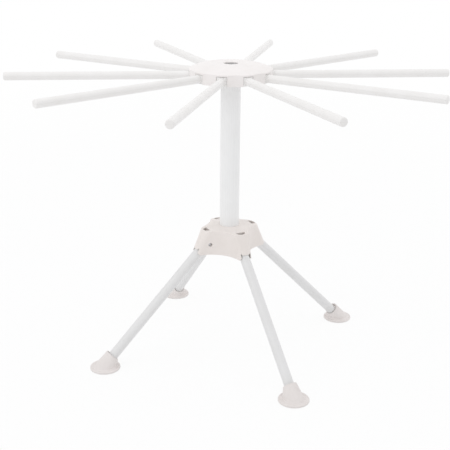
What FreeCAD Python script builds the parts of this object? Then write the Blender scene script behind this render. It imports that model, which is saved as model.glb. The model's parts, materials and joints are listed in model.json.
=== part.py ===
import FreeCAD, Part
import math
import os
import Sketcher
from FreeCAD import Vector

# Folding drying rack: ten rods that fold down on a round hub, a tubular column
# and a four-lobed base hub with legs that fold in.
# Millimetres, +Z up, origin on the floor under the column, +X along rod_01.

# Driving dimensions
SIZES = {
    "rod_count": 10,
    "rod_diameter": 8.0,
    "rod_reach": 220.0,
    "rod_tip_round": 1.2,
    "rod_pivot_radius": 34.0,
    "rod_eye_diameter": 8.8,
    "rod_eye_width": 10.0,
    "rod_root_reach": 41.0,
    "rod_root_round": 0.6,
    "rod_pin_diameter": 3.0,
    "rod_pin_length": 16.4,
    "eye_side_gap": 0.2,
    "eye_end_gap": 0.3,
    "pin_running_gap": 0.05,
    "pin_seat_gap": 0.02,
    "hub_across_flats": 81.4,
    "hub_rim_diameter": 82.6,
    "hub_rim_above": 6.2,
    "hub_rim_below": 4.6,
    "hub_dome_rise": 5.3,
    "hub_crown_diameter": 36.0,
    "hub_crown_hole": 14.4,
    "hub_crown_lip": 1.4,
    "hub_crown_round": 0.8,
    "hub_skirt": 2.0,
    "hub_edge_round": 0.5,
    "plate_gap": 0.05,
    "screw_count": 5,
    "screw_circle": 44.0,
    "screw_diameter": 2.5,
    "screw_length": 9.0,
    "screw_head_diameter": 4.8,
    "screw_head_height": 1.4,
    "screw_cross_length": 2.8,
    "screw_cross_width": 0.7,
    "screw_cross_depth": 0.8,
    "screw_gap": 0.02,
    "column_diameter": 20.0,
    "column_wall": 2.0,
    "column_length": 188.7,
    "socket_gap": 0.03,
    "socket_floor": 4.0,
    "base_below_hinge": 10.8,
    "base_above_hinge": 16.3,
    "base_top_diameter": 23.0,
    "base_edge_round": 0.8,
    "lobe_reach": 41.4,
    "lobe_lip_reach": 38.4,
    "lobe_toe_reach": 37.0,
    "lobe_end_round": 5.0,
    "lobe_roof": 1.8,
    "lobe_hollow_reach": 14.5,
    "lobe_opening": 10.0,
    "lobe_opening_reach": 24.3,
    "web_waist": 22.7,
    "web_radius": 31.0,
    "shoulder_drop": 2.6,
    "shoulder_reach": 30.0,
    "leg_count": 4,
    "leg_azimuth": 21.2,
    "leg_spread": 44.6,
    "leg_length": 163.0,
    "leg_diameter": 10.0,
    "leg_hinge_radius": 26.0,
    "leg_eye_diameter": 10.4,
    "leg_eye_width": 10.2,
    "leg_pin_diameter": 4.0,
    "leg_pin_length": 15.0,
    "leg_stop_gap": 0.2,
    "leg_slot_reach": 31.5,
    "foot_diameter": 30.5,
    "foot_disc_height": 2.4,
    "foot_edge_round": 0.9,
    "foot_centre_height": 3.2,
    "collar_base_diameter": 20.6,
    "collar_base_shift": 1.8,
    "collar_flare": 1.4,
    "collar_diameter": 13.6,
    "collar_height": 12.5,
    "collar_mouth_shift": 0.9,
    "collar_mouth_depth": 2.0,
    "collar_lip": 0.6,
    "leg_tip_height": 4.5,
    "leg_fit_gap": 0.03,
    "foot_cup_diameter": 22.0,
    "foot_cup_depth": 0.8,
}

# How a sketch counts the points of an edge
START, END, CENTRE = 1, 2, 3

doc = FreeCAD.newDocument("drying_rack")
sheet = doc.addObject("Spreadsheet::Sheet", "Sizes")
for row, (alias, number) in enumerate(SIZES.items(), start=1):
    sheet.set(f"A{row}", alias)
    sheet.set(f"B{row}", str(number))
    sheet.setAlias(f"B{row}", alias)
doc.recompute()


class Cells:
    """Gives each sheet cell as text for an expression: cell.rod_reach is 'Sizes.rod_reach'."""

    def __getattr__(self, alias):
        return f"Sizes.{alias}"


cell = Cells()


def value(expression):
    """The number that an expression over the sheet's cells comes to."""
    return float(sheet.evalExpression(str(expression)))


# Sizes and heights that follow from the driving dimensions
ROD_RADIUS = f"({cell.rod_diameter} / 2)"
ROD_SLOT_WIDTH = f"({cell.rod_eye_width} + 2 * {cell.eye_side_gap})"
ROD_SLOT_INNER = f"({cell.rod_pivot_radius} - {cell.rod_eye_diameter} / 2 - {cell.eye_end_gap})"
ROD_SLOT_TOP = f"({cell.rod_eye_diameter} / 2 + {cell.eye_end_gap})"
HUB_BOTTOM = f"(-{cell.hub_rim_below})"
HUB_CROWN = f"({cell.hub_rim_above} + {cell.hub_dome_rise})"
HUB_CORNER = f"({cell.hub_across_flats} / 2 / cos(180 / {cell.rod_count}))"
PLATE_RECESS = f"({cell.hub_across_flats} / 2 - {cell.hub_skirt})"
PLATE_TOP = f"(-{cell.rod_pin_diameter} / 2 - {cell.plate_gap})"
SCREW_TURN = f"(180 / {cell.rod_count})"
COLUMN_BORE = f"({cell.column_diameter} / 2 + {cell.socket_gap})"
LEG_RADIUS = f"({cell.leg_diameter} / 2)"
LEG_SLOT_WIDTH = f"({cell.leg_eye_width} + 2 * {cell.eye_side_gap})"
LEG_SLOT_INNER = f"({cell.leg_hinge_radius} - {cell.leg_eye_diameter} / 2 - {cell.eye_end_gap})"
LEG_SLOT_TOP = f"({cell.leg_eye_diameter} / 2 + {cell.eye_end_gap})"
HINGE_HEIGHT = f"({cell.foot_centre_height} + {cell.leg_length} * cos({cell.leg_spread}))"
FOOT_RADIUS = f"({cell.leg_hinge_radius} + {cell.leg_length} * sin({cell.leg_spread}))"
COLUMN_FOOT = f"({HINGE_HEIGHT} - {cell.base_below_hinge} + {cell.socket_floor})"
COLUMN_TOP = f"({COLUMN_FOOT} + {cell.column_length})"
ROD_HEIGHT = f"({COLUMN_TOP} + {cell.hub_crown_lip} - {HUB_CROWN})"
# Well past anything that a cut has to clear
CLEAR = f"(2 * {cell.lobe_reach})"


def origin_feature(body, role):
    """One of a body's own origin planes or axes."""
    return next(item for item in body.Origin.OriginFeatures if item.Role == role)


def new_body(label):
    """An empty body with the label that names its file."""
    body = doc.addObject("PartDesign::Body", label)
    body.Label = label
    return body


def new_sketch(body, name, plane, lift="0"):
    """A sketch on one of the body's origin planes, lifted along the plane's normal."""
    sketch = body.newObject("Sketcher::SketchObject", name)
    sketch.AttachmentSupport = [(origin_feature(body, plane), "")]
    sketch.MapMode = "FlatFace"
    sketch.setExpression("AttachmentOffset.Base.z", lift)
    return sketch


def fix_point(sketch, geometry, position, x, y):
    """Holds a sketch point at two expressions, measured from the sketch origin."""
    for kind, axis, expression in (("DistanceX", -2, x), ("DistanceY", -1, y)):
        if expression == "0":
            sketch.addConstraint(Sketcher.Constraint("PointOnObject", geometry, position, axis))
            continue
        index = sketch.addConstraint(
            Sketcher.Constraint(kind, -1, START, geometry, position, value(expression)))
        sketch.setExpression(f"Constraints[{index}]", expression)


def draw_circle(sketch, diameter, x="0", y="0"):
    """A circle of a given diameter and centre."""
    circle = Part.Circle(Vector(value(x), value(y), 0), Vector(0, 0, 1), value(diameter) / 2)
    geometry = sketch.addGeometry(circle)
    fix_point(sketch, geometry, CENTRE, x, y)
    index = sketch.addConstraint(Sketcher.Constraint("Diameter", geometry, value(diameter)))
    sketch.setExpression(f"Constraints[{index}]", diameter)


def tangent_arc(start, direction, end):
    """The arc that leaves start along direction and stops at end, and whether it turns left."""
    normal = Vector(-direction.y, direction.x, 0)
    chord = end - start
    reach = chord.dot(chord) / (2 * normal.dot(chord))
    centre = start + normal * reach
    turns_left = reach > 0
    first, last = (start, end) if turns_left else (end, start)
    angles = [math.atan2(point.y - centre.y, point.x - centre.x) for point in (first, last)]
    if angles[1] <= angles[0]:
        angles[1] += 2 * math.pi
    circle = Part.Circle(centre, Vector(0, 0, 1), abs(reach))
    return Part.ArcOfCircle(circle, *angles), turns_left


def draw_outline(sketch, corners, arc_after=()):
    """A closed outline. The side after a corner listed in arc_after is an arc that
    leaves along the side before it."""
    points = [Vector(value(x), value(y), 0) for x, y in corners]
    sides = []
    for index, start in enumerate(points):
        end = points[(index + 1) % len(points)]
        if index in arc_after:
            direction = (start - points[index - 1]).normalize()
            shape, turns_left = tangent_arc(start, direction, end)
            ends = (START, END) if turns_left else (END, START)
        else:
            shape = Part.LineSegment(start, end)
            ends = (START, END)
        sides.append((sketch.addGeometry(shape), *ends))
    for index, (geometry, first, _) in enumerate(sides):
        before, _, before_last = sides[index - 1]
        kind = "Tangent" if index in arc_after else "Coincident"
        sketch.addConstraint(Sketcher.Constraint(kind, before, before_last, geometry, first))
    for index, (x, y) in enumerate(corners):
        # An arc's own end points are held by the straight sides they meet
        if index in arc_after:
            geometry, _, position = sides[index - 1]
        else:
            geometry, position, _ = sides[index]
        fix_point(sketch, geometry, position, x, y)


def extrude(body, kind, sketch, length, reverse=False, symmetric=False):
    """Pads or pockets a sketch by a length."""
    feature = body.newObject(f"PartDesign::{kind}", f"{sketch.Name}_{kind.lower()}")
    feature.Profile = sketch
    feature.Type = "Length"
    feature.SideType = "Symmetric" if symmetric else "One side"
    feature.Reversed = reverse
    feature.setExpression("Length", length)
    settle(body, feature, removes=(kind == "Pocket"))
    return feature


def revolve(body, kind, sketch, axis):
    """Turns a sketch about an axis, to add or to cut."""
    feature = body.newObject(f"PartDesign::{kind}", f"{sketch.Name}_{kind.lower()}")
    feature.Profile = sketch
    feature.ReferenceAxis = axis
    feature.Angle = 360
    settle(body, feature, removes=(kind == "Groove"))
    return feature


def polar_copies(body, features, count):
    """Repeats features about the vertical axis."""
    pattern = body.newObject("PartDesign::PolarPattern", f"{features[0].Name}_ring")
    pattern.Originals = features
    pattern.Axis = (origin_feature(body, "Z_Axis"), [""])
    pattern.Angle = 360
    pattern.setExpression("Occurrences", count)
    body.Tip = pattern
    doc.recompute()
    return pattern


def round_edges(body, base, radius, chosen):
    """Rounds those edges of the base feature that the test picks."""
    names = [f"Edge{number}" for number, edge in enumerate(base.Shape.Edges, start=1) if chosen(edge)]
    if not names:
        raise RuntimeError(f"{body.Label}: no edge to round on {base.Name}")
    fillet = body.newObject("PartDesign::Fillet", f"{base.Name}_round")
    fillet.Base = (base, names)
    fillet.setExpression("Radius", radius)
    settle(body, fillet)
    return fillet


def axis_distance(edge):
    """How far the middle of an edge lies from the vertical axis."""
    return math.hypot(edge.CenterOfMass.x, edge.CenterOfMass.y)


def settle(body, feature, removes=False):
    """Recomputes, and stops if a feature that should cut has cut nothing."""
    before = feature.BaseFeature.Shape.Volume if feature.BaseFeature else 0
    body.Tip = feature
    doc.recompute()
    if removes and not feature.Shape.Volume < before:
        raise RuntimeError(f"{body.Label}: {feature.Name} removes nothing")


def place(item, x="0", y="0", z="0", turn="0", tilt="0"):
    """Binds an item's place: a turn about +Z after a tilt about +Y."""
    item.setExpression(
        "Placement",
        f"placement(vector({x}; {y}; {z});"
        f" rotation(vector(0; 0; 1); {turn}) * rotation(vector(0; 1; 0); {tilt}))",
    )


def on_circle(radius, turn):
    """The X and Y of a point at a radius and azimuth."""
    return f"{radius} * cos({turn})", f"{radius} * sin({turn})"


def rod_turn(index):
    return f"({index} * 360 / {cell.rod_count})"


def leg_turn(index):
    return f"({cell.leg_azimuth} + {index} * 360 / {cell.leg_count})"


def make_hub_shell():
    """Ten-sided domed hub with a slot and a pin seat for each rod, open below for the plate."""
    body = new_body("hub_shell")
    place(body, z=ROD_HEIGHT)
    dome = new_sketch(body, "hub_dome", "XZ_Plane")
    draw_outline(
        dome,
        [("0", HUB_CROWN), (f"{cell.hub_crown_diameter} / 2", HUB_CROWN),
         (f"{cell.hub_rim_diameter} / 2", cell.hub_rim_above),
         (f"{cell.hub_rim_diameter} / 2", HUB_BOTTOM), ("0", HUB_BOTTOM)],
        arc_after=(1,),
    )
    revolve(body, "Revolution", dome, (dome, ["V_Axis"]))

    facets = new_sketch(body, "hub_facets", "XY_Plane")
    corners = [on_circle(HUB_CORNER, rod_turn(index)) for index in range(SIZES["rod_count"])]
    draw_outline(facets, [(x if index else HUB_CORNER, y if index else "0")
                          for index, (x, y) in enumerate(corners)])
    draw_circle(facets, f"4 * {HUB_CORNER}")
    shaped = extrude(body, "Pocket", facets, f"2 * {CLEAR}", symmetric=True)
    round_edges(
        body, shaped, cell.hub_edge_round,
        lambda edge: edge.BoundBox.ZMin > 0
        and axis_distance(edge) > value(PLATE_RECESS))

    recess = new_sketch(body, "plate_recess", "XY_Plane", lift=HUB_BOTTOM)
    draw_circle(recess, f"2 * {PLATE_RECESS}")
    extrude(body, "Pocket", recess, f"{PLATE_TOP} - {HUB_BOTTOM}", reverse=True)

    bore = new_sketch(body, "column_bore", "XY_Plane", lift=f"{HUB_CROWN} - {cell.hub_crown_lip}")
    draw_circle(bore, f"2 * {COLUMN_BORE}")
    extrude(body, "Pocket", bore, CLEAR)
    hole = new_sketch(body, "crown_hole", "XY_Plane")
    draw_circle(hole, cell.hub_crown_hole)
    crown_cut = extrude(body, "Pocket", hole, CLEAR, reverse=True)
    round_edges(
        body, crown_cut, cell.hub_crown_round,
        lambda edge: edge.isClosed() and edge.BoundBox.XLength < value(cell.column_diameter)
        and edge.BoundBox.ZMin > value(f"{HUB_CROWN} - {cell.hub_crown_lip} / 2"))

    slot = new_sketch(body, "rod_slot", "XY_Plane", lift=HUB_BOTTOM)
    draw_slot(slot, ROD_SLOT_INNER, f"2 * {HUB_CORNER}", ROD_SLOT_WIDTH)
    slot_cut = extrude(body, "Pocket", slot, f"{ROD_SLOT_TOP} - {HUB_BOTTOM}", reverse=True)

    half_seat = f"({cell.rod_pin_diameter} / 2 + {cell.pin_seat_gap})"
    seat = new_sketch(body, "pin_seat", "XZ_Plane")
    draw_outline(
        seat,
        [(f"{cell.rod_pivot_radius} + {half_seat}", PLATE_TOP),
         (f"{cell.rod_pivot_radius} + {half_seat}", "0"),
         (f"{cell.rod_pivot_radius} - {half_seat}", "0"),
         (f"{cell.rod_pivot_radius} - {half_seat}", PLATE_TOP)],
        arc_after=(1,),
    )
    seat_length = f"{cell.rod_pin_length} + 2 * {cell.pin_seat_gap}"
    seat_cut = extrude(body, "Pocket", seat, seat_length, symmetric=True)
    polar_copies(body, [slot_cut, seat_cut], cell.rod_count)

    pilot = new_sketch(body, "screw_pilot", "XY_Plane", lift=PLATE_TOP)
    draw_circle(pilot, f"{cell.screw_diameter} + 2 * {cell.screw_gap}", *screw_place())
    pilot_cut = extrude(body, "Pocket", pilot, cell.screw_length, reverse=True)
    polar_copies(body, [pilot_cut], cell.screw_count)
    return body


def draw_slot(sketch, inner, outer, width):
    """A rectangle along +X between two radii, as wide as given."""
    draw_outline(sketch, [(inner, f"-{width} / 2"), (outer, f"-{width} / 2"),
                          (outer, f"{width} / 2"), (inner, f"{width} / 2")])


def screw_place():
    """Where the first plate screw stands: midway between two rods."""
    return on_circle(f"{cell.screw_circle} / 2", SCREW_TURN)


def make_hub_plate():
    """Round plate inside the hub's skirt, slotted for the rods, that closes the pin seats."""
    body = new_body("hub_plate")
    place(body, z=ROD_HEIGHT)
    disc = new_sketch(body, "plate_disc", "XY_Plane", lift=HUB_BOTTOM)
    draw_circle(disc, f"2 * ({PLATE_RECESS} - {cell.plate_gap})")
    draw_circle(disc, f"2 * {COLUMN_BORE}")
    extrude(body, "Pad", disc, f"{PLATE_TOP} - {HUB_BOTTOM}")

    slot = new_sketch(body, "plate_slot", "XY_Plane", lift=HUB_BOTTOM)
    draw_slot(slot, ROD_SLOT_INNER, f"2 * {HUB_CORNER}", ROD_SLOT_WIDTH)
    slot_cut = extrude(body, "Pocket", slot, CLEAR, symmetric=True)
    polar_copies(body, [slot_cut], cell.rod_count)

    hole = new_sketch(body, "plate_hole", "XY_Plane", lift=HUB_BOTTOM)
    draw_circle(hole, f"{cell.screw_diameter} + 2 * {cell.screw_gap}", *screw_place())
    hole_cut = extrude(body, "Pocket", hole, CLEAR, symmetric=True)
    seat = new_sketch(body, "plate_head_seat", "XY_Plane", lift=HUB_BOTTOM)
    draw_circle(seat, f"{cell.screw_head_diameter} + 2 * {cell.screw_gap}", *screw_place())
    seat_cut = extrude(body, "Pocket", seat, f"{cell.screw_head_height} + {cell.screw_gap}", reverse=True)
    polar_copies(body, [hole_cut, seat_cut], cell.screw_count)
    return body


def make_plate_screws():
    """Self-tapping cross-head screws from below, heads sunk in the plate."""
    body = new_body("hub_plate_screws")
    place(body, z=ROD_HEIGHT, turn=SCREW_TURN)
    radius = f"({cell.screw_circle} / 2)"
    head = new_sketch(body, "screw_head", "XY_Plane", lift=HUB_BOTTOM)
    draw_circle(head, cell.screw_head_diameter, radius)
    head_pad = extrude(body, "Pad", head, cell.screw_head_height)
    shank = new_sketch(body, "screw_shank", "XY_Plane", lift=HUB_BOTTOM)
    draw_circle(shank, cell.screw_diameter, radius)
    shank_pad = extrude(body, "Pad", shank, cell.screw_length)
    arms = []
    for name, along, across in (("screw_cross_radial", cell.screw_cross_length, cell.screw_cross_width),
                                ("screw_cross_tangent", cell.screw_cross_width, cell.screw_cross_length)):
        arm = new_sketch(body, name, "XY_Plane", lift=HUB_BOTTOM)
        draw_slot(arm, f"({radius} - {along} / 2)", f"({radius} + {along} / 2)", across)
        arms.append(extrude(body, "Pocket", arm, cell.screw_cross_depth, reverse=True))
    polar_copies(body, [head_pad, shank_pad, *arms], cell.screw_count)
    return body


def make_pins(label, count, turn_of, radius, height, diameter, length):
    """Cross pins, one for each hinge, as a group of separate solids."""
    pins = []
    for index in range(count):
        pin = doc.addObject("Part::Cylinder", f"{label}_{index + 1}")
        pin.setExpression("Radius", f"{diameter} / 2")
        pin.setExpression("Height", length)
        turn = turn_of(index)
        x, y = on_circle(radius, turn)
        # The cylinder stands on its end, so it is laid along the tangent and drawn back by half
        end_x = f"{x} + {length} / 2 * sin({turn})"
        end_y = f"{y} - {length} / 2 * cos({turn})"
        pin.setExpression(
            "Placement",
            f"placement(vector({end_x}; {end_y}; {height});"
            f" rotation(vector(0; 0; 1); {turn}) * rotation(vector(1; 0; 0); -90))",
        )
        pins.append(pin)
    group = doc.addObject("Part::Compound", label)
    group.Label = label
    group.Links = pins
    return group


def add_eye(body, name, diameter, width, pin_diameter):
    """A flat-sided eye at the body's origin, across the XZ plane, bored for its pin."""
    eye = new_sketch(body, f"{name}_eye", "XZ_Plane")
    draw_circle(eye, diameter)
    extrude(body, "Pad", eye, width, symmetric=True)
    bore = new_sketch(body, f"{name}_bore", "XZ_Plane")
    draw_circle(bore, f"{pin_diameter} + 2 * {cell.pin_running_gap}")
    return extrude(body, "Pocket", bore, f"2 * {width}", symmetric=True)


def make_rod(index):
    """A round rod along its own +X from the pivot, with a block at its root that fills the hub's slot."""
    label = f"rod_{index + 1:02d}"
    turn = rod_turn(index)
    body = new_body(label)
    x, y = on_circle(cell.rod_pivot_radius, turn)
    place(body, x, y, ROD_HEIGHT, turn)
    length = f"({cell.rod_reach} - {cell.rod_pivot_radius})"
    half = new_sketch(body, f"{label}_half", "XZ_Plane")
    draw_outline(half, [("0", "0"), (length, "0"), (length, ROD_RADIUS), ("0", ROD_RADIUS)])
    bar = revolve(body, "Revolution", half, (half, ["H_Axis"]))
    round_edges(body, bar, cell.rod_tip_round,
                lambda edge: edge.isClosed() and edge.CenterOfMass.x > value(ROD_RADIUS))

    root = new_sketch(body, f"{label}_root", "XZ_Plane")
    root_end = f"({cell.rod_root_reach} - {cell.rod_pivot_radius})"
    half_height = f"({cell.rod_eye_diameter} / 2)"
    draw_outline(root, [("0", f"-{half_height}"), (root_end, f"-{half_height}"),
                        (root_end, half_height), ("0", half_height)])
    block = extrude(body, "Pad", root, cell.rod_eye_width, symmetric=True)
    round_edges(
        body, block, cell.rod_root_round,
        lambda edge: not edge.isClosed() and edge.BoundBox.XMin > value(half_height)
        and edge.BoundBox.XMax < value(cell.rod_root_reach))
    add_eye(body, label, cell.rod_eye_diameter, cell.rod_eye_width, cell.rod_pin_diameter)
    return body


def make_column():
    """Tube from the base hub's socket up through the hub, open at the top."""
    body = new_body("column")
    place(body, z=COLUMN_FOOT)
    ring = new_sketch(body, "column_ring", "XY_Plane")
    draw_circle(ring, cell.column_diameter)
    draw_circle(ring, f"{cell.column_diameter} - 2 * {cell.column_wall}")
    extrude(body, "Pad", ring, cell.column_length)
    return body


def stop_height(radius):
    """Height above the hinge of the face that a spread leg leans against, at a radius."""
    return (f"(({LEG_RADIUS} + {cell.leg_stop_gap} - ({radius} - {cell.leg_hinge_radius})"
            f" * cos({cell.leg_spread})) / sin({cell.leg_spread}))")


def make_base_hub():
    """Four-lobed hub with hollow flanks: a slot for a leg in each lobe, a socket for the column."""
    body = new_body("base_hub")
    place(body, z=HINGE_HEIGHT, turn=cell.leg_azimuth)
    top = cell.base_above_hinge
    bottom = f"(-{cell.base_below_hinge})"
    shoulder = f"({top} - {cell.shoulder_drop})"
    bell = new_sketch(body, "base_bell", "XZ_Plane")
    draw_outline(bell, [("0", top), ("0", bottom), (cell.lobe_reach, bottom),
                        (cell.shoulder_reach, shoulder), (f"{cell.base_top_diameter} / 2", top)])
    revolve(body, "Revolution", bell, (bell, ["V_Axis"]))

    flank = new_sketch(body, "base_flank", "XY_Plane")
    flank_centre = on_circle(f"({cell.web_waist} + {cell.web_radius})", f"(180 / {cell.leg_count})")
    draw_circle(flank, f"2 * {cell.web_radius}", *flank_centre)
    flank_cut = extrude(body, "Pocket", flank, CLEAR, symmetric=True)
    lobes = polar_copies(body, [flank_cut], cell.leg_count)
    ends = round_edges(body, lobes, cell.lobe_end_round, lambda edge: edge.BoundBox.ZLength > value(top))
    round_edges(
        body, ends, cell.base_edge_round,
        lambda edge: edge.BoundBox.ZMin > 0 and axis_distance(edge) > value(cell.base_top_diameter) / 2)

    # Takes the sharp points off the lower ends of the lobes
    under = f"(2 * {bottom})"
    toe = new_sketch(body, "base_toe", "XZ_Plane")
    draw_outline(toe, [(cell.lobe_toe_reach, bottom), (CLEAR, under),
                       (CLEAR, f"{bottom} + {CLEAR} - {cell.lobe_toe_reach}")])
    revolve(body, "Groove", toe, (toe, ["V_Axis"]))

    socket = new_sketch(body, "base_socket", "XY_Plane", lift=f"{bottom} + {cell.socket_floor}")
    draw_circle(socket, f"2 * {COLUMN_BORE}")
    extrude(body, "Pocket", socket, CLEAR, reverse=True)

    slot = new_sketch(body, "leg_slot", "XZ_Plane")
    lip = stop_height(cell.lobe_lip_reach)
    roof = f"({shoulder} - {cell.lobe_roof})"
    # The hollow above the hinge follows the lobe's end, so the wall there stays even
    end_slope = f"(({cell.lobe_reach} - {cell.shoulder_reach}) / ({shoulder} - {bottom}))"
    roof_reach = f"({cell.leg_slot_reach} - ({roof} - {LEG_SLOT_TOP}) * {end_slope})"
    draw_outline(slot, [(LEG_SLOT_INNER, under), (CLEAR, under), (CLEAR, lip), (cell.lobe_lip_reach, lip),
                        (cell.leg_slot_reach, stop_height(cell.leg_slot_reach)),
                        (cell.leg_slot_reach, LEG_SLOT_TOP), (roof_reach, roof),
                        (cell.lobe_hollow_reach, roof), (cell.lobe_hollow_reach, LEG_SLOT_TOP),
                        (LEG_SLOT_INNER, LEG_SLOT_TOP)])
    slot_cut = extrude(body, "Pocket", slot, LEG_SLOT_WIDTH, symmetric=True)
    opening = new_sketch(body, "lobe_opening", "XY_Plane", lift=roof)
    draw_circle(opening, cell.lobe_opening, cell.lobe_opening_reach)
    opening_cut = extrude(body, "Pocket", opening, CLEAR, reverse=True)
    # Open on one flank only, so the pin goes in from there and its far end stays covered
    pin_end = f"{cell.leg_pin_length} / 2 + {cell.pin_seat_gap}"
    pin_hole = new_sketch(body, "leg_pin_hole", "XZ_Plane", lift=pin_end)
    draw_circle(pin_hole, f"{cell.leg_pin_diameter} + 2 * {cell.pin_seat_gap}", cell.leg_hinge_radius)
    hole_cut = extrude(body, "Pocket", pin_hole, cell.lobe_reach)
    polar_copies(body, [slot_cut, opening_cut, hole_cut], cell.leg_count)
    return body


def make_leg(index):
    """A round leg along its own -Z from the hinge, tilted out by the spread angle."""
    label = f"leg_{index + 1}"
    turn = leg_turn(index)
    body = new_body(label)
    x, y = on_circle(cell.leg_hinge_radius, turn)
    place(body, x, y, HINGE_HEIGHT, turn, f"-{cell.leg_spread}")
    bar = new_sketch(body, f"{label}_bar", "XY_Plane")
    draw_circle(bar, cell.leg_diameter)
    extrude(body, "Pad", bar, f"{cell.leg_length} - {cell.leg_tip_height}", reverse=True)
    add_eye(body, label, cell.leg_eye_diameter, cell.leg_eye_width, cell.leg_pin_diameter)
    return body


def make_foot(index):
    """A soft round foot: a disc with a slanted collar that takes the end of the leg."""
    label = f"foot_{index + 1}"
    turn = leg_turn(index)
    body = new_body(label)
    x, y = on_circle(FOOT_RADIUS, turn)
    place(body, x, y, "0", turn)
    disc = new_sketch(body, f"{label}_disc", "XY_Plane")
    draw_circle(disc, cell.foot_diameter)
    disc_pad = extrude(body, "Pad", disc, cell.foot_disc_height)
    round_edges(body, disc_pad, cell.foot_edge_round, lambda edge: edge.isClosed())

    collar = new_sketch(body, f"{label}_collar", "XZ_Plane")
    base_radius = f"({cell.collar_base_diameter} / 2)"
    rim_radius = f"({cell.collar_diameter} / 2)"
    # The cone leans so far that its outer side runs along the leg
    lean = f"({cell.leg_spread} - atan(({base_radius} - {rim_radius}) / {cell.collar_height}) / 1 deg)"
    collar.setExpression(
        "AttachmentOffset",
        f"placement(vector(-{cell.collar_base_shift}; {cell.foot_disc_height}; 0);"
        f" rotation(vector(0; 0; 1); {lean}))",
    )
    low = f"(-{cell.collar_height})"
    high = f"(2 * {cell.collar_height})"
    draw_outline(collar, [("0", low), (f"2 * {base_radius} - {rim_radius}", low),
                          (f"2 * {rim_radius} - {base_radius}", high), ("0", high)])
    revolve(body, "Revolution", collar, (collar, ["V_Axis"]))
    rim = leg_section(body, f"{label}_rim", cell.collar_height)
    draw_circle(rim, CLEAR)
    extrude(body, "Pocket", rim, CLEAR, reverse=True)
    sole = new_sketch(body, f"{label}_sole", "XY_Plane")
    draw_circle(sole, CLEAR)
    trimmed = extrude(body, "Pocket", sole, CLEAR)
    round_edges(
        body, trimmed, cell.collar_flare,
        lambda edge: edge.isClosed() and edge.BoundBox.ZMin > 0
        and edge.BoundBox.ZMax < value(cell.foot_centre_height)
        and edge.BoundBox.YLength < value(cell.foot_cup_diameter))

    mouth = leg_section(body, f"{label}_mouth", f"{cell.collar_height} - {cell.collar_mouth_depth}")
    draw_circle(mouth, f"{cell.collar_diameter} - 2 * {cell.collar_lip}", cell.collar_mouth_shift)
    extrude(body, "Pocket", mouth, cell.collar_height, reverse=True)
    bore = leg_section(body, f"{label}_bore", f"{cell.leg_tip_height} - {cell.leg_fit_gap}")
    draw_circle(bore, f"{cell.leg_diameter} + 2 * {cell.leg_fit_gap}")
    extrude(body, "Pocket", bore, cell.collar_height, reverse=True)
    cup = new_sketch(body, f"{label}_cup", "XY_Plane")
    draw_circle(cup, cell.foot_cup_diameter)
    extrude(body, "Pocket", cup, cell.foot_cup_depth, reverse=True)
    return body


def leg_section(body, name, distance):
    """A sketch square to the leg, at a distance up the leg from the middle of its foot."""
    sketch = new_sketch(body, name, "XY_Plane")
    height = f"{cell.foot_centre_height} + ({distance}) * cos({cell.leg_spread})"
    sketch.setExpression(
        "AttachmentOffset",
        f"placement(vector(-({distance}) * sin({cell.leg_spread}); 0; {height});"
        f" rotation(vector(0; 1; 0); -{cell.leg_spread}))",
    )
    return sketch


def make_all():
    rods = range(SIZES["rod_count"])
    legs = range(SIZES["leg_count"])
    pieces = [make_hub_shell(), make_hub_plate(), make_plate_screws(), make_column(), make_base_hub()]
    pieces.append(make_pins("rod_pins", SIZES["rod_count"], rod_turn, cell.rod_pivot_radius, ROD_HEIGHT,
                            cell.rod_pin_diameter, cell.rod_pin_length))
    pieces.append(make_pins("leg_pins", SIZES["leg_count"], leg_turn, cell.leg_hinge_radius, HINGE_HEIGHT,
                            cell.leg_pin_diameter, cell.leg_pin_length))
    pieces += [make_rod(index) for index in rods]
    pieces += [make_leg(index) for index in legs]
    pieces += [make_foot(index) for index in legs]
    return pieces


def check(pieces):
    """Stops before anything is written if an object failed or a piece is not sound."""
    for item in doc.Objects:
        if "Invalid" in item.State or "Error" in item.State:
            raise RuntimeError(f"{item.Label} failed: {item.State}")
    for piece in pieces:
        if piece.Shape.isNull() or not piece.Shape.isValid():
            raise RuntimeError(f"{piece.Label} has no sound shape")


pieces = make_all()
doc.recompute()
check(pieces)
os.makedirs("parts", exist_ok=True)
for piece in pieces:
    piece.Shape.exportStep(f"parts/{piece.Label}.step")
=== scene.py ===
import json
import math

import bmesh
import bpy
from mathutils import Matrix, Vector


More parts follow.
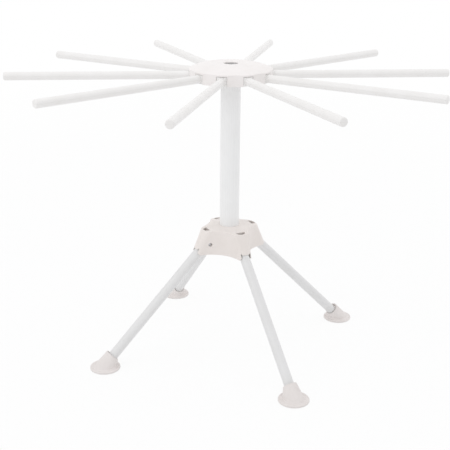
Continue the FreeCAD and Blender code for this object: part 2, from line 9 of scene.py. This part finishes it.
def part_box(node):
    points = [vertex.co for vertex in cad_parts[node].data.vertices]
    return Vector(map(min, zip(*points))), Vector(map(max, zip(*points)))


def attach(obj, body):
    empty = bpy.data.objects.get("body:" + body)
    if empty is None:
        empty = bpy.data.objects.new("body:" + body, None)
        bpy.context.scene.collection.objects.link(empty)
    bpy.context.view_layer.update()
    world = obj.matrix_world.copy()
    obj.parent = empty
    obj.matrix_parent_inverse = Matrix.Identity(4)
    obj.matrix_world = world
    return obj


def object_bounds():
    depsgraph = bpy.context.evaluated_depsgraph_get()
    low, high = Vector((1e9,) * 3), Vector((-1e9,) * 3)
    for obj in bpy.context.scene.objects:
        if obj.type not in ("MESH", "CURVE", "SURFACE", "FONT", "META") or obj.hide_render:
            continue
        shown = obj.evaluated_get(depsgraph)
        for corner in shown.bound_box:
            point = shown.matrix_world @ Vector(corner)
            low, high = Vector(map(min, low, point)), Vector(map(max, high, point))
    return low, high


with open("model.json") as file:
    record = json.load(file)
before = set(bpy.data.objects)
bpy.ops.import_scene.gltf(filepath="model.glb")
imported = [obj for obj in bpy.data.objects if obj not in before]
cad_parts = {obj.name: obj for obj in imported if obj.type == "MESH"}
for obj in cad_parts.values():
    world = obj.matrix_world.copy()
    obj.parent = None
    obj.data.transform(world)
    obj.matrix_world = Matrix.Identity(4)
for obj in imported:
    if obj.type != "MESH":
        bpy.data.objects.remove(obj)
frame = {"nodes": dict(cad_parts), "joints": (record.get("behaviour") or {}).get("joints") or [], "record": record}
CAD_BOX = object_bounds()
MM = 0.001

# The photograph's view of the object
CAMERA_AZIMUTH = math.radians(-95.75)
CAMERA_ELEVATION = math.radians(19.45)
CAMERA_DISTANCE = 0.96778
CAMERA_ROLL = math.radians(0.63)
TARGET_HEIGHT = 0.13418
LENS = 74.43
SENSOR = 36.0
FRAME_PIXELS = 450
FRAME_SHIFT = (-4.27 / FRAME_PIXELS, -0.16 / FRAME_PIXELS)

# Hinge places, read from the joints
JOINTS = {joint["name"]: joint for joint in frame["joints"]}
ROD_HEIGHT = JOINTS["rod_01_fold"]["pos_m"][2]
LEGS = range(1, 5)
LEG_HINGE = JOINTS["leg_1_fold"]["pos_m"]
LEG_HINGE_RADIUS = math.hypot(LEG_HINGE[0], LEG_HINGE[1])
LEG_SPREAD = math.radians(JOINTS["leg_1_fold"]["range_deg"][1])

# The base hub's sloped roof, the round openings in it over the leg hinges and the inserts in these
BASE_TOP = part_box("base_hub")[1].z
BASE_TOP_RADIUS = 11.5 * MM
SHOULDER_REACH = 30.0 * MM
SHOULDER_DROP = 2.6 * MM
OPENING_RADIUS = 5.0 * MM
OPENING_REACH = 24.3 * MM
INSERT_GAP = 0.03 * MM
INSERT_DEPTH = 5.4 * MM
INSERT_ROUND = 0.4 * MM
INSERT_ROUND_STEPS = 4
INSERT_ARC_STEPS = 24

# Moulded plastic: noise scales per metre, relief heights, tones against the colour and span of roughness
CLOUD_SCALE = 55.0
CLOUD_TONE = (0.965, 0.962, 0.955)
SKIN_SCALE = 1400.0
SKIN_RELIEF = 0.015 * MM
SEAM_WIDTH = 0.3 * MM
SEAM_RELIEF = 0.08 * MM
SEAM_TONE = (0.93, 0.925, 0.915)
WEAR_SCALE = 210.0
WEAR_SMOOTHER = 0.05
WEAR_ROUGHER = 0.09

# The drawn tube, whose lines are noise drawn out along its length
TUBE_CLOUD_SCALE = 45.0
TUBE_CLOUD_TONE = (0.97, 0.97, 0.968)
LINE_SCALE = 1700.0
LINE_STRETCH = (1.0, 1.0, 0.012)
LINE_RELIEF = 0.006 * MM
LINE_SMOOTHER = 0.04
LINE_ROUGHER = 0.05

# Rubber
RUBBER_CLOUD_SCALE = 90.0
RUBBER_CLOUD_TONE = (0.93, 0.925, 0.915)
RUBBER_WEAR_SCALE = 320.0
RUBBER_ROUGHNESS = (0.5, 0.68)
RUBBER_SPECULAR = 0.35
PIT_SCALE = 2200.0
PIT_RELIEF = 0.05 * MM

# Steel, with scratches drawn out upward on the pins and sideways on the screws
SCRATCH_SCALE = 1500.0
SCRATCH_TONE = (0.84, 0.84, 0.85)
SCRATCH_RELIEF = 0.01 * MM
STEEL_ROUGHNESS = (0.22, 0.4)
PIN_STRETCH = (1.0, 1.0, 0.1)
SCREW_STRETCH = (0.2, 1.0, 1.0)

# The floor, which fades to the white background between two distances from the object
FLOOR_HALF = 6.0
FLOOR_DROP = 0.1 * MM
FLOOR_COLOUR = (0.92, 0.92, 0.92, 1.0)
FLOOR_ROUGHNESS = 0.9
FLOOR_SPECULAR = 0.1
FLOOR_CLEARNESS = (0.88, 1.0)
FLOOR_FADE = (0.4, 1.6)

# The even light from all round, and the white that is seen behind the object
FILL_COLOUR = (0.985, 0.99, 1.0, 1.0)
FILL_STRENGTH = 0.86
BACKGROUND_COLOUR = (1.0, 1.0, 1.0, 1.0)
BACKGROUND_STRENGTH = 1.0

# The colour sockets of a mix node, which has a set of sockets for each kind of data
MIX_COLOURS = (6, 7)
MIX_RESULT = 2


class Nodes:
    """Short ways to add and join the nodes of one material."""

    def __init__(self, name):
        self.material = bpy.data.materials.new(name)
        self.material.use_nodes = True
        self.tree = self.material.node_tree
        self.shader = self.tree.nodes["Principled BSDF"]

    def add(self, kind, **settings):
        node = self.tree.nodes.new(kind)
        for key, value in settings.items():
            setattr(node, key, value)
        return node

    def join(self, source, target):
        self.tree.links.new(source, target)

    def place(self, stretch=(1.0, 1.0, 1.0)):
        """Coordinates that stay with the piece, scaled along its axes."""
        coordinates = self.add("ShaderNodeTexCoord")
        mapping = self.add("ShaderNodeMapping")
        mapping.inputs["Scale"].default_value = stretch
        self.join(coordinates.outputs["Object"], mapping.inputs["Vector"])
        return mapping.outputs["Vector"]

    def noise(self, place, scale, detail=3.0, roughness=0.55):
        texture = self.add("ShaderNodeTexNoise")
        texture.inputs["Scale"].default_value = scale
        texture.inputs["Detail"].default_value = detail
        texture.inputs["Roughness"].default_value = roughness
        self.join(place, texture.inputs["Vector"])
        return texture.outputs["Fac"]

    def spread(self, value, low, high, start=0.3, stop=0.7):
        """Maps a value to low and high from a span, by default the usual span of noise."""
        node = self.add("ShaderNodeMapRange")
        node.inputs["From Min"].default_value = start
        node.inputs["From Max"].default_value = stop
        node.inputs["To Min"].default_value = low
        node.inputs["To Max"].default_value = high
        self.join(value, node.inputs["Value"])
        return node.outputs["Result"]

    def math(self, operation, first, second=None):
        node = self.add("ShaderNodeMath", operation=operation)
        for slot, value in enumerate((first, second)):
            if value is None:
                continue
            if isinstance(value, (int, float)):
                node.inputs[slot].default_value = value
            else:
                self.join(value, node.inputs[slot])
        return node.outputs[0]

    def mix(self, factor, first, second):
        """Mixes two colours, each a triple or a socket."""
        node = self.add("ShaderNodeMix", data_type="RGBA")
        self.join(factor, node.inputs["Factor"])
        for slot, colour in zip(MIX_COLOURS, (first, second)):
            if isinstance(colour, tuple):
                node.inputs[slot].default_value = (*colour, 1.0)
            else:
                self.join(colour, node.inputs[slot])
        return node.outputs[MIX_RESULT]

    def bump(self, height, distance, strength=1.0, under=None):
        node = self.add("ShaderNodeBump")
        node.inputs["Strength"].default_value = strength
        node.inputs["Distance"].default_value = distance
        self.join(height, node.inputs["Height"])
        if under is not None:
            self.join(under, node.inputs["Normal"])
        return node.outputs["Normal"]


def toned(colour, tone):
    return tuple(channel * part for channel, part in zip(colour, tone))


def line_at(nodes, distance, width):
    """1 on a thin line where the distance is zero, falling to 0 at its edges."""
    node = nodes.add("ShaderNodeMapRange", interpolation_type="SMOOTHSTEP")
    node.inputs["From Min"].default_value = width
    node.inputs["From Max"].default_value = 0.0
    nodes.join(nodes.math("ABSOLUTE", distance), node.inputs["Value"])
    return node.outputs["Result"]


def rod_seam(nodes):
    """Distance from the level parting plane of the rods' mould."""
    split = nodes.add("ShaderNodeSeparateXYZ")
    nodes.join(nodes.place(), split.inputs["Vector"])
    return nodes.math("SUBTRACT", split.outputs["Z"], ROD_HEIGHT)


def leg_seam(nodes):
    """Distance from the parting surface through a slanted leg's axis, the same for all the legs."""
    split = nodes.add("ShaderNodeSeparateXYZ")
    nodes.join(nodes.place(), split.inputs["Vector"])
    across = nodes.math("MULTIPLY", split.outputs["X"], split.outputs["X"])
    along = nodes.math("MULTIPLY", split.outputs["Y"], split.outputs["Y"])
    radius = nodes.math("SQRT", nodes.math("ADD", across, along))
    past_hinge = nodes.math("SUBTRACT", radius, LEG_HINGE_RADIUS)
    above_hinge = nodes.math("SUBTRACT", split.outputs["Z"], LEG_HINGE[2])
    outward = nodes.math("MULTIPLY", past_hinge, math.cos(LEG_SPREAD))
    upward = nodes.math("MULTIPLY", above_hinge, math.sin(LEG_SPREAD))
    return nodes.math("ADD", outward, upward)


def moulded_plastic(name, colour, roughness, seam=None):
    """White moulded plastic: faint clouding, an even orange-peel skin and, where given, a mould seam."""
    nodes = Nodes(name)
    place = nodes.place()
    clouds = nodes.spread(nodes.noise(place, CLOUD_SCALE), 0.0, 1.0)
    tint = nodes.mix(clouds, colour, toned(colour, CLOUD_TONE))
    skin = nodes.noise(place, SKIN_SCALE, detail=2.0)
    normal = nodes.bump(skin, SKIN_RELIEF, strength=0.35)
    if seam is not None:
        line = line_at(nodes, seam(nodes), SEAM_WIDTH)
        tint = nodes.mix(line, tint, toned(colour, SEAM_TONE))
        normal = nodes.bump(line, SEAM_RELIEF, strength=0.6, under=normal)
    wear = nodes.noise(place, WEAR_SCALE, detail=4.0)
    worn = nodes.spread(wear, roughness - WEAR_SMOOTHER, roughness + WEAR_ROUGHER)
    nodes.join(tint, nodes.shader.inputs["Base Color"])
    nodes.join(worn, nodes.shader.inputs["Roughness"])
    nodes.join(normal, nodes.shader.inputs["Normal"])
    return nodes.material


def drawn_plastic(name, colour, roughness):
    """Extruded white tube: faint clouding, and fine lines along its length in gloss and relief."""
    nodes = Nodes(name)
    lines = nodes.noise(nodes.place(LINE_STRETCH), LINE_SCALE, detail=2.0)
    clouds = nodes.spread(nodes.noise(nodes.place(), TUBE_CLOUD_SCALE), 0.0, 1.0)
    tint = nodes.mix(clouds, colour, toned(colour, TUBE_CLOUD_TONE))
    lined = nodes.spread(lines, roughness - LINE_SMOOTHER, roughness + LINE_ROUGHER)
    nodes.join(tint, nodes.shader.inputs["Base Color"])
    nodes.join(lined, nodes.shader.inputs["Roughness"])
    nodes.join(nodes.bump(lines, LINE_RELIEF, strength=0.3), nodes.shader.inputs["Normal"])
    return nodes.material


def soft_rubber(name, colour):
    """Soft pale rubber: matte, finely pitted, a little darker in patches."""
    nodes = Nodes(name)
    place = nodes.place()
    clouds = nodes.spread(nodes.noise(place, RUBBER_CLOUD_SCALE, detail=5.0), 0.0, 1.0)
    tint = nodes.mix(clouds, colour, toned(colour, RUBBER_CLOUD_TONE))
    pits = nodes.noise(place, PIT_SCALE, detail=2.0)
    worn = nodes.spread(nodes.noise(place, RUBBER_WEAR_SCALE), *RUBBER_ROUGHNESS)
    nodes.join(tint, nodes.shader.inputs["Base Color"])
    nodes.join(worn, nodes.shader.inputs["Roughness"])
    nodes.join(nodes.bump(pits, PIT_RELIEF, strength=0.5), nodes.shader.inputs["Normal"])
    nodes.shader.inputs["Specular IOR Level"].default_value = RUBBER_SPECULAR
    return nodes.material


def ground_steel(name, colour, stretch):
    """Ground or plated steel: fine scratches drawn out along one axis."""
    nodes = Nodes(name)
    scratches = nodes.noise(nodes.place(stretch), SCRATCH_SCALE, detail=4.0)
    tint = nodes.mix(nodes.spread(scratches, 0.0, 1.0), colour, toned(colour, SCRATCH_TONE))
    nodes.join(tint, nodes.shader.inputs["Base Color"])
    nodes.join(nodes.spread(scratches, *STEEL_ROUGHNESS), nodes.shader.inputs["Roughness"])
    nodes.join(nodes.bump(scratches, SCRATCH_RELIEF, strength=0.5), nodes.shader.inputs["Normal"])
    nodes.shader.inputs["Metallic"].default_value = 1.0
    return nodes.material


def make_finishes():
    """One material for each slot in the record."""
    return {
        "hub_plastic": moulded_plastic("hub_plastic", (0.9, 0.863, 0.852), 0.34),
        "rod_plastic": moulded_plastic("rod_plastic", (0.88, 0.865, 0.855), 0.32, seam=rod_seam),
        "column_plastic": drawn_plastic("column_plastic", (0.89, 0.888, 0.886), 0.27),
        "base_plastic": moulded_plastic("base_plastic", (0.845, 0.789, 0.757), 0.42),
        "leg_plastic": moulded_plastic("leg_plastic", (0.785, 0.781, 0.781), 0.34, seam=leg_seam),
        "foot_rubber": soft_rubber("foot_rubber", (0.815, 0.77, 0.754)),
        "pin_steel": ground_steel("pin_steel", (0.62, 0.62, 0.63), PIN_STRETCH),
        "screw_steel": ground_steel("screw_steel", (0.56, 0.56, 0.57), SCREW_STRETCH),
    }


def dress_nodes(finishes):
    """Gives every node the material of its slot in the record."""
    for part in frame["record"]["subparts"]:
        mesh = frame["nodes"][part["node"]].data
        mesh.materials.clear()
        mesh.materials.append(finishes[part["material_slot"]])


def roof_height(radius):
    """Height of the base hub's roof at a distance from the column's axis."""
    share = (radius - BASE_TOP_RADIUS) / (SHOULDER_REACH - BASE_TOP_RADIUS)
    return BASE_TOP - share * SHOULDER_DROP


def make_insert(name, hinge, finish):
    """A half-moon insert, flush with the roof, in the inner half of the opening over a leg hinge."""
    radius = OPENING_RADIUS - INSERT_GAP
    outline = []
    for step in range(INSERT_ARC_STEPS + 1):
        angle = math.pi * (0.5 + step / INSERT_ARC_STEPS)
        outline.append((OPENING_REACH + radius * math.cos(angle), radius * math.sin(angle)))
    shape = bmesh.new()
    upper = [shape.verts.new((x, y, roof_height(math.hypot(x, y)) - INSERT_GAP)) for x, y in outline]
    lower = [shape.verts.new((x, y, BASE_TOP - INSERT_DEPTH)) for x, y in outline]
    shape.faces.new(upper)
    shape.faces.new(lower)
    for k in range(len(outline)):
        shape.faces.new((upper[k - 1], upper[k], lower[k], lower[k - 1]))
    bmesh.ops.recalc_face_normals(shape, faces=shape.faces)
    front = shape.edges.get((upper[0], upper[-1]))
    bmesh.ops.bevel(shape, geom=[front], offset=INSERT_ROUND, segments=INSERT_ROUND_STEPS, profile=0.5,
                    affect="EDGES")
    turn = Matrix.Rotation(math.atan2(hinge[1], hinge[0]), 3, "Z")
    bmesh.ops.rotate(shape, matrix=turn, verts=shape.verts)
    mesh = bpy.data.meshes.new(name)
    shape.to_mesh(mesh)
    shape.free()
    mesh.materials.append(finish)
    insert = bpy.data.objects.new(name, mesh)
    bpy.context.scene.collection.objects.link(insert)
    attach(insert, "frame")


def camera_seen(tree):
    """1 for rays that should see the plain white background: from the camera, mirrors and glass."""
    path = tree.nodes.new("ShaderNodeLightPath")
    total = path.outputs["Is Camera Ray"]
    for kind in ("Is Glossy Ray", "Is Transmission Ray"):
        most = tree.nodes.new("ShaderNodeMath")
        most.operation = "MAXIMUM"
        tree.links.new(total, most.inputs[0])
        tree.links.new(path.outputs[kind], most.inputs[1])
        total = most.outputs[0]
    return total


def make_floor():
    """A wide floor that keeps a soft shadow of the object.

    The camera sees the white background through it, and also the legs where they fold below it.
    """
    mesh = bpy.data.meshes.new("floor")
    corners = [(FLOOR_HALF * x, FLOOR_HALF * y, 0.0) for x, y in ((-1, -1), (1, -1), (1, 1), (-1, 1))]
    mesh.from_pydata(corners, [], [(0, 1, 2, 3)])
    floor = bpy.data.objects.new("floor", mesh)
    bpy.context.scene.collection.objects.link(floor)
    floor.location.z = CAD_BOX[0].z - FLOOR_DROP
    nodes = Nodes("floor_paper")
    nodes.shader.inputs["Base Color"].default_value = FLOOR_COLOUR
    nodes.shader.inputs["Roughness"].default_value = FLOOR_ROUGHNESS
    nodes.shader.inputs["Specular IOR Level"].default_value = FLOOR_SPECULAR
    clear = nodes.add("ShaderNodeBsdfTransparent")
    reach = nodes.add("ShaderNodeVectorMath", operation="LENGTH")
    nodes.join(nodes.place(), reach.inputs[0])
    near, far = FLOOR_FADE
    clearness = nodes.spread(reach.outputs["Value"], *FLOOR_CLEARNESS, start=near, stop=far)
    share = nodes.math("MULTIPLY", camera_seen(nodes.tree), clearness)
    blend = nodes.add("ShaderNodeMixShader")
    nodes.join(share, blend.inputs["Fac"])
    nodes.join(nodes.shader.outputs["BSDF"], blend.inputs[1])
    nodes.join(clear.outputs["BSDF"], blend.inputs[2])
    nodes.join(blend.outputs["Shader"], nodes.tree.nodes["Material Output"].inputs["Surface"])
    mesh.materials.append(nodes.material)


def make_world():
    """White where it is seen, and a plain even fill light elsewhere."""
    world = bpy.data.worlds.new("studio")
    world.use_nodes = True
    bpy.context.scene.world = world
    tree = world.node_tree
    fill = tree.nodes["Background"]
    fill.inputs["Color"].default_value = FILL_COLOUR
    fill.inputs["Strength"].default_value = FILL_STRENGTH
    seen = tree.nodes.new("ShaderNodeBackground")
    seen.inputs["Color"].default_value = BACKGROUND_COLOUR
    seen.inputs["Strength"].default_value = BACKGROUND_STRENGTH
    blend = tree.nodes.new("ShaderNodeMixShader")
    tree.links.new(camera_seen(tree), blend.inputs["Fac"])
    tree.links.new(fill.outputs["Background"], blend.inputs[1])
    tree.links.new(seen.outputs["Background"], blend.inputs[2])
    tree.links.new(blend.outputs["Shader"], tree.nodes["World Output"].inputs["Surface"])


def make_lamp(name, place, size, energy):
    """A square soft box aimed at the middle of the object."""
    data = bpy.data.lights.new(name, "AREA")
    data.shape = "SQUARE"
    data.size = size
    data.energy = energy
    lamp = bpy.data.objects.new(name, data)
    bpy.context.scene.collection.objects.link(lamp)
    lamp.location = place
    aim = (CAD_BOX[0] + CAD_BOX[1]) / 2 - Vector(place)
    lamp.rotation_euler = aim.to_track_quat("-Z", "Y").to_euler()


def make_camera():
    """The photograph's camera, aimed at a point on the column's axis."""
    data = bpy.data.cameras.new("camera")
    data.lens = LENS
    data.sensor_width = SENSOR
    data.shift_x, data.shift_y = FRAME_SHIFT
    camera = bpy.data.objects.new("camera", data)
    bpy.context.scene.collection.objects.link(camera)
    level = math.cos(CAMERA_ELEVATION)
    back = Vector((
        level * math.cos(CAMERA_AZIMUTH),
        level * math.sin(CAMERA_AZIMUTH),
        math.sin(CAMERA_ELEVATION),
    ))
    target = Vector((0.0, 0.0, TARGET_HEIGHT))
    move = Matrix.Translation(target + CAMERA_DISTANCE * back)
    turn = (-back).to_track_quat("-Z", "Y").to_matrix().to_4x4()
    roll = Matrix.Rotation(CAMERA_ROLL, 4, "Z")
    camera.matrix_world = move @ turn @ roll
    bpy.context.scene.camera = camera


finishes = make_finishes()
dress_nodes(finishes)
for leg in LEGS:
    make_insert(f"hinge_insert_{leg}", JOINTS[f"leg_{leg}_fold"]["pos_m"], finishes["base_plastic"])
make_floor()
make_world()
make_lamp("top_box", place=(0.2, 0.1, 1.7), size=1.5, energy=2.6)
make_lamp("right_box", place=(1.5, 0.6, 0.8), size=1.2, energy=1.2)
make_lamp("left_box", place=(-1.1, -0.6, 1.3), size=1.2, energy=3.5)
make_camera()
bpy.context.scene.view_settings.view_transform = "Standard"
